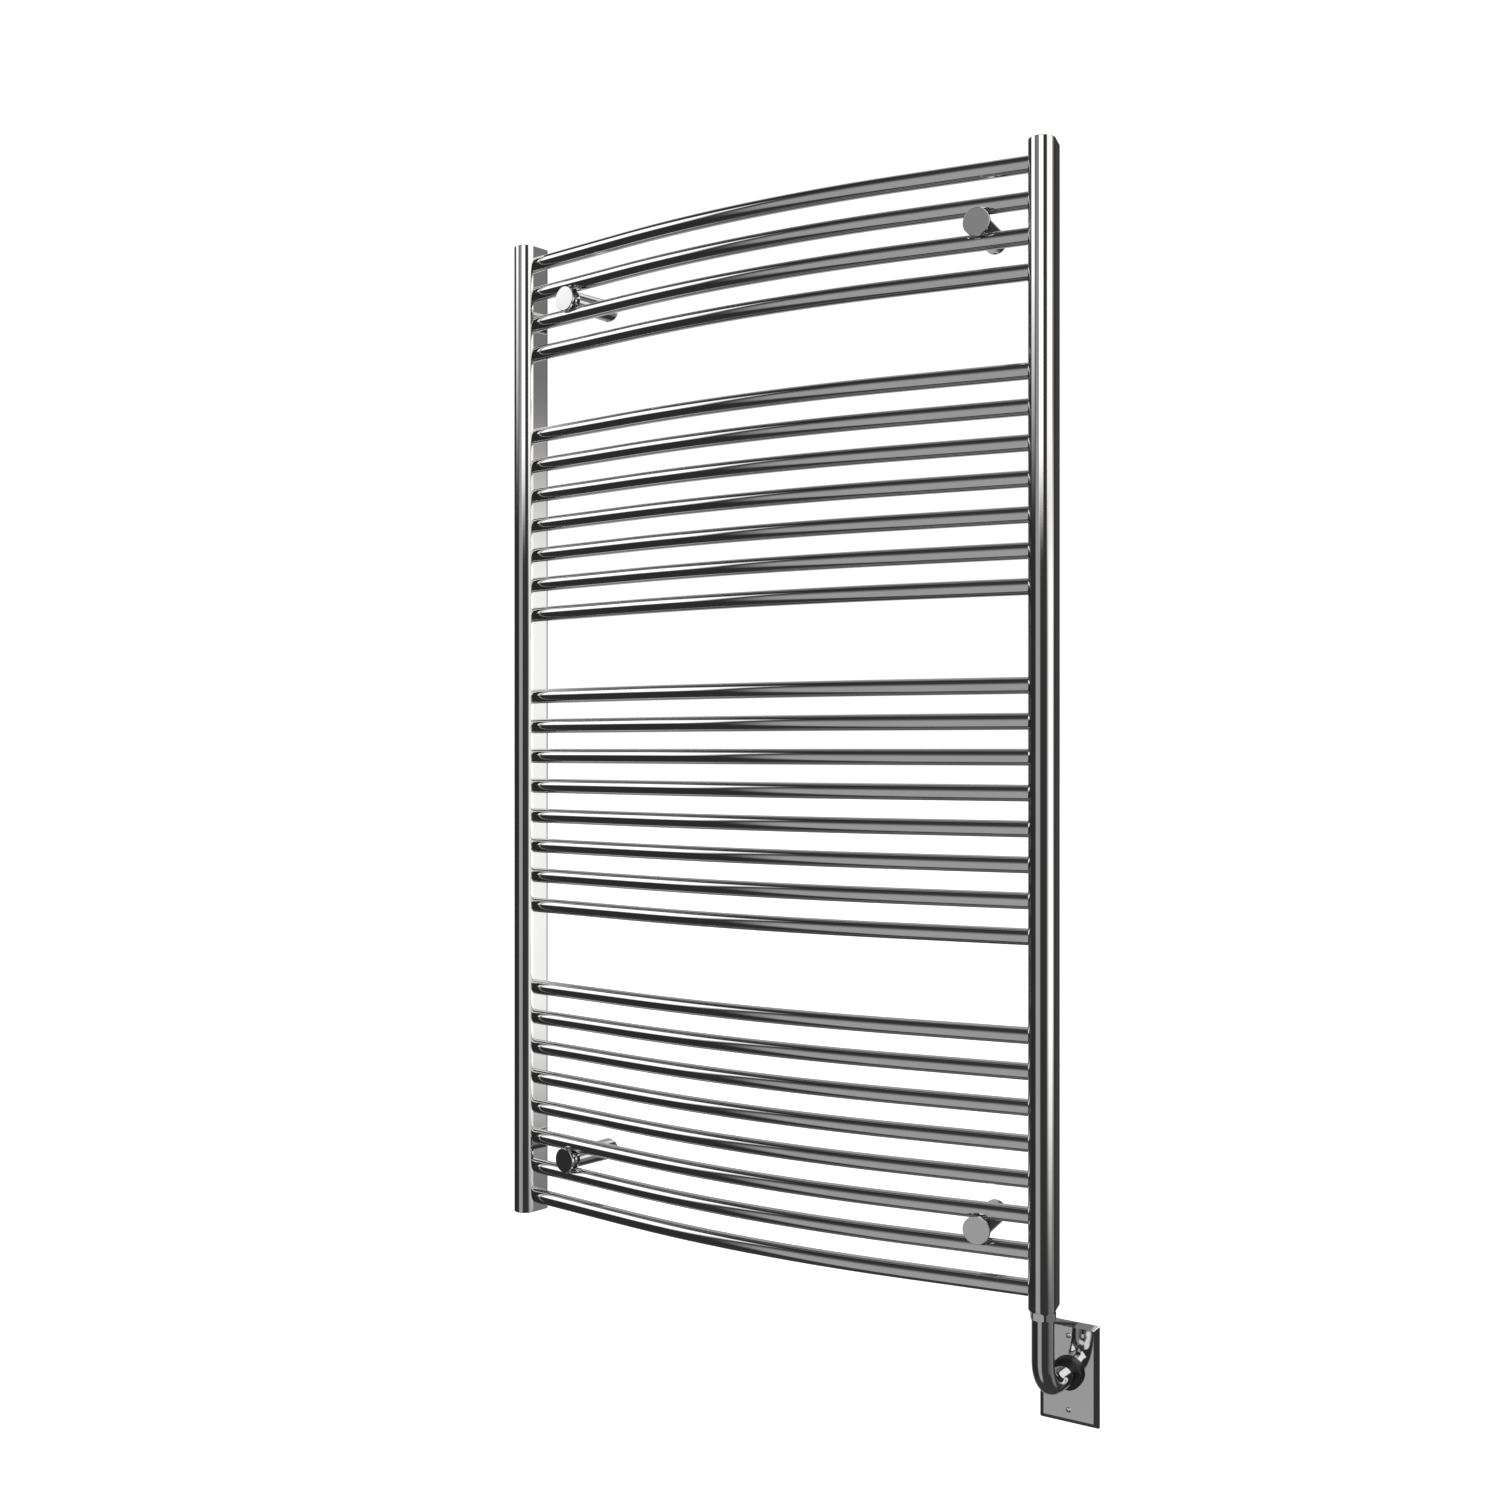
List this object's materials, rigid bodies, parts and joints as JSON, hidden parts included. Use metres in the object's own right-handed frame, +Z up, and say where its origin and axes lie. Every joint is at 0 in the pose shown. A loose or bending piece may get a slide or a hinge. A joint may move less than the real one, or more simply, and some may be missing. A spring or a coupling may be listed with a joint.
{
  "type": "electric towel rail",
  "caption": "Bowed ladder towel rail with D-section posts, clamp brackets and a bent conduit to a wall plate; warms and dries towels.",
  "frame": {"origin": "centre of the rectangle of four wall fixings, on the wall face", "axes": "+Z up along the posts, +Y into the wall, +X to the right as seen from the room"},
  "size_m": [0.7742, 0.1214, 1.4174],
  "materials": {
    "rail_chrome": "mirror-polished chrome plate on round steel tube",
    "post_chrome": "mirror-polished chrome plate on D-section steel tube",
    "cap_chrome": "mirror-polished chrome plate, fine joint line to the post",
    "bracket_chrome": "polished chrome plate on a turned body",
    "disc_chrome": "polished chrome plate, flat face with an eased edge",
    "plate_chrome": "polished chrome plate on pressed sheet",
    "conduit_chrome": "polished chrome plate on bent tube",
    "nut_chrome": "polished chrome plate on brass hexagon",
    "screw_chrome": "chrome plated slotted oval head",
    "plug_chrome": "chrome plated socket plug",
    "black_rubber": "matt black moulded rubber",
    "seal_rubber": "black flat sealing ring",
    "lead_sheath": "matt dark grey flexible sheath",
    "nylon": "natural white nylon",
    "brass": "machined brass",
    "element_sheath": "drawn stainless sheath",
    "zinc_plate": "zinc plated steel",
    "black_steel": "black oxide steel"
  },
  "bodies": {
    "rail_frame": {"rail_01": "rail_chrome", "rail_02": "rail_chrome", "rail_03": "rail_chrome", "rail_04": "rail_chrome", "rail_05": "rail_chrome", "rail_06": "rail_chrome", "rail_07": "rail_chrome", "rail_08": "rail_chrome", "rail_09": "rail_chrome", "rail_10": "rail_chrome", "rail_11": "rail_chrome", "rail_12": "rail_chrome", "rail_13": "rail_chrome", "rail_14": "rail_chrome", "rail_15": "rail_chrome", "rail_16": "rail_chrome", "rail_17": "rail_chrome", "rail_18": "rail_chrome", "rail_19": "rail_chrome", "rail_20": "rail_chrome", "rail_21": "rail_chrome", "rail_22": "rail_chrome", "rail_23": "rail_chrome", "rail_24": "rail_chrome", "rail_25": "rail_chrome", "rail_26": "rail_chrome", "rail_27": "rail_chrome", "post_left": "post_chrome", "post_right": "post_chrome", "top_cap_left": "cap_chrome", "top_cap_right": "cap_chrome", "bottom_cap_left": "cap_chrome", "bottom_cap_right": "cap_chrome", "blanking_plug": "plug_chrome", "plug_seal": "seal_rubber", "element_seal": "seal_rubber", "element_head": "brass", "element_rod": "element_sheath", "wall_bases": "zinc_plate", "grub_screws": "black_steel", "bracket_stem_upper_left": "bracket_chrome", "bracket_stem_upper_right": "bracket_chrome", "bracket_stem_lower_left": "bracket_chrome", "bracket_stem_lower_right": "bracket_chrome"},
    "washer_upper_left": {"clamp_washer_upper_left": "nylon"},
    "disc_upper_left": {"clamp_disc_upper_left": "disc_chrome"},
    "washer_upper_right": {"clamp_washer_upper_right": "nylon"},
    "disc_upper_right": {"clamp_disc_upper_right": "disc_chrome"},
    "washer_lower_left": {"clamp_washer_lower_left": "nylon"},
    "disc_lower_left": {"clamp_disc_lower_left": "disc_chrome"},
    "washer_lower_right": {"clamp_washer_lower_right": "nylon"},
    "disc_lower_right": {"clamp_disc_lower_right": "disc_chrome"},
    "lock_nut": {"lock_nut": "nut_chrome"},
    "conduit": {"conduit": "conduit_chrome", "supply_lead": "lead_sheath"},
    "wall_plate": {"cover_plate": "plate_chrome", "wall_grommet": "black_rubber", "plate_screws": "screw_chrome"}
  },
  "joints": [
    {"name": "clamp_upper_left_slide", "type": "slide", "parent": "rail_frame", "child": "washer_upper_left", "axis": [-0.1357, -0.9907, 0], "range_m": [0, 0.005]},
    {"name": "clamp_upper_left_turn", "type": "hinge", "parent": "washer_upper_left", "child": "disc_upper_left", "pos_m": [-0.28709, -0.08095, 0.55653], "axis": [-0.1357, -0.9907, 0], "range_deg": [0, 1440]},
    {"name": "clamp_upper_right_slide", "type": "slide", "parent": "rail_frame", "child": "washer_upper_right", "axis": [0.1357, -0.9907, 0], "range_m": [0, 0.005]},
    {"name": "clamp_upper_right_turn", "type": "hinge", "parent": "washer_upper_right", "child": "disc_upper_right", "pos_m": [0.28709, -0.08095, 0.55653], "axis": [0.1357, -0.9907, 0], "range_deg": [0, 1440]},
    {"name": "clamp_lower_left_slide", "type": "slide", "parent": "rail_frame", "child": "washer_lower_left", "axis": [-0.1357, -0.9907, 0], "range_m": [0, 0.005]},
    {"name": "clamp_lower_left_turn", "type": "hinge", "parent": "washer_lower_left", "child": "disc_lower_left", "pos_m": [-0.28709, -0.08095, -0.55653], "axis": [-0.1357, -0.9907, 0], "range_deg": [0, 1440]},
    {"name": "clamp_lower_right_slide", "type": "slide", "parent": "rail_frame", "child": "washer_lower_right", "axis": [0.1357, -0.9907, 0], "range_m": [0, 0.005]},
    {"name": "clamp_lower_right_turn", "type": "hinge", "parent": "washer_lower_right", "child": "disc_lower_right", "pos_m": [0.28709, -0.08095, -0.55653], "axis": [0.1357, -0.9907, 0], "range_deg": [0, 1440]},
    {"name": "lock_nut_turn", "type": "hinge", "parent": "rail_frame", "child": "lock_nut", "pos_m": [0.35896, -0.06809, -0.64002], "axis": [0, 0, 1], "range_deg": [0, 60]},
    {"name": "conduit_swivel", "type": "hinge", "parent": "rail_frame", "child": "conduit", "pos_m": [0.35896, -0.06809, -0.65402], "axis": [0, 0, 1], "range_deg": [-80, 80]},
    {"name": "wall_plate_slide", "type": "slide", "parent": "conduit", "child": "wall_plate", "axis": [-0.0785, -0.9969, 0], "range_m": [0, 0.02]}
  ],
  "couplings": [
    {"joint": "clamp_upper_left_turn", "follows": "clamp_upper_left_slide", "rad_per_m": 5026.5},
    {"joint": "clamp_upper_right_turn", "follows": "clamp_upper_right_slide", "rad_per_m": 5026.5},
    {"joint": "clamp_lower_left_turn", "follows": "clamp_lower_left_slide", "rad_per_m": 5026.5},
    {"joint": "clamp_lower_right_turn", "follows": "clamp_lower_right_slide", "rad_per_m": 5026.5}
  ]
}
